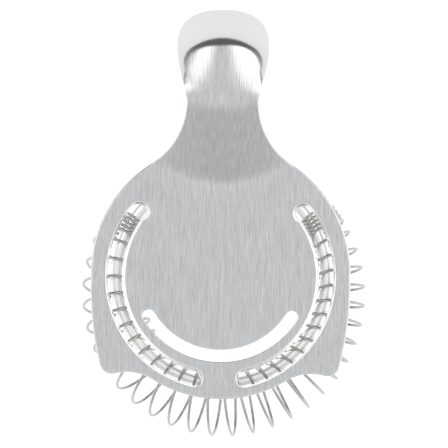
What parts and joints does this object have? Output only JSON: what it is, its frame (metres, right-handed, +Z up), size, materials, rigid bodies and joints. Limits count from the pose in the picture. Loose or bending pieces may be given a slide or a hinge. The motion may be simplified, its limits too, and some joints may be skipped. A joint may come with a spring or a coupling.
{
  "type": "hawthorne strainer",
  "caption": "Bar strainer: a slotted steel plate with ears and a turned-down handle, and a coil spring round a ring beneath it.",
  "frame": {"origin": "centre of the round plate, on its underside, which rests on the rim of a tin or glass", "axes": "+Y along the handle, away from the nose; +Z up, out of the plate's brushed face; +X to the right seen from above with the handle up"},
  "size_m": [0.1029, 0.1561, 0.0371],
  "materials": {
    "brushed_steel": "brushed along the handle",
    "polished_steel": "polished",
    "spring_wire": "bright drawn wire"
  },
  "bodies": {
    "plate": {"strainer_plate": "brushed_steel", "spring_ring": "polished_steel", "ring_stud_nose": "polished_steel", "ring_stud_left": "polished_steel", "ring_stud_right": "polished_steel"},
    "spring": {"coil_spring": "spring_wire"}
  },
  "joints": [
    {"name": "spring_slide", "type": "slide", "parent": "plate", "child": "spring", "axis": [0, 1, 0], "range_m": [0, 0.006], "stiffness_N_per_m": 500, "deforming": ["coil_spring"]}
  ]
}
